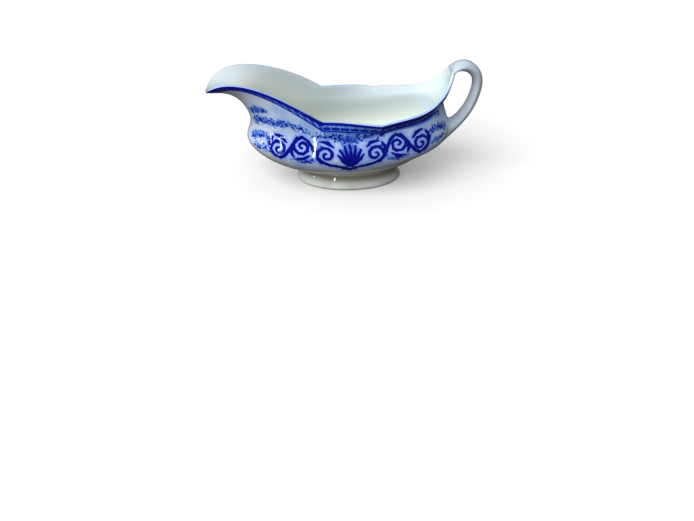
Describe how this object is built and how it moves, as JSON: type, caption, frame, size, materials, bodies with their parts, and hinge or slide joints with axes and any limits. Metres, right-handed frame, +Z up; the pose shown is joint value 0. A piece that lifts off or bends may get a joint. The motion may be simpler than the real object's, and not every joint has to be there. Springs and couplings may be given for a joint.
{
  "type": "gravy boat",
  "caption": "Oval footed earthenware gravy boat with a broad upswept pouring lip and a loop handle.",
  "frame": {"origin": "middle of the bounding box in plan, on the plane the foot stands on", "axes": "+X from the pouring lip towards the handle along the length, +Z up, +Y across the width"},
  "size_m": [0.2048, 0.0804, 0.092],
  "materials": {
    "printed_glaze": "clear glaze over white body with a soft cobalt blue underglaze print",
    "handle_glaze": "clear glaze, faintly blue",
    "foot_glaze": "clear glaze, warm grey"
  },
  "bodies": {
    "root": {"bowl": "printed_glaze", "foot": "foot_glaze", "handle": "handle_glaze", "handle_upper_lute": "handle_glaze", "handle_lower_lute": "handle_glaze", "foot_lute": "foot_glaze"}
  },
  "joints": []
}
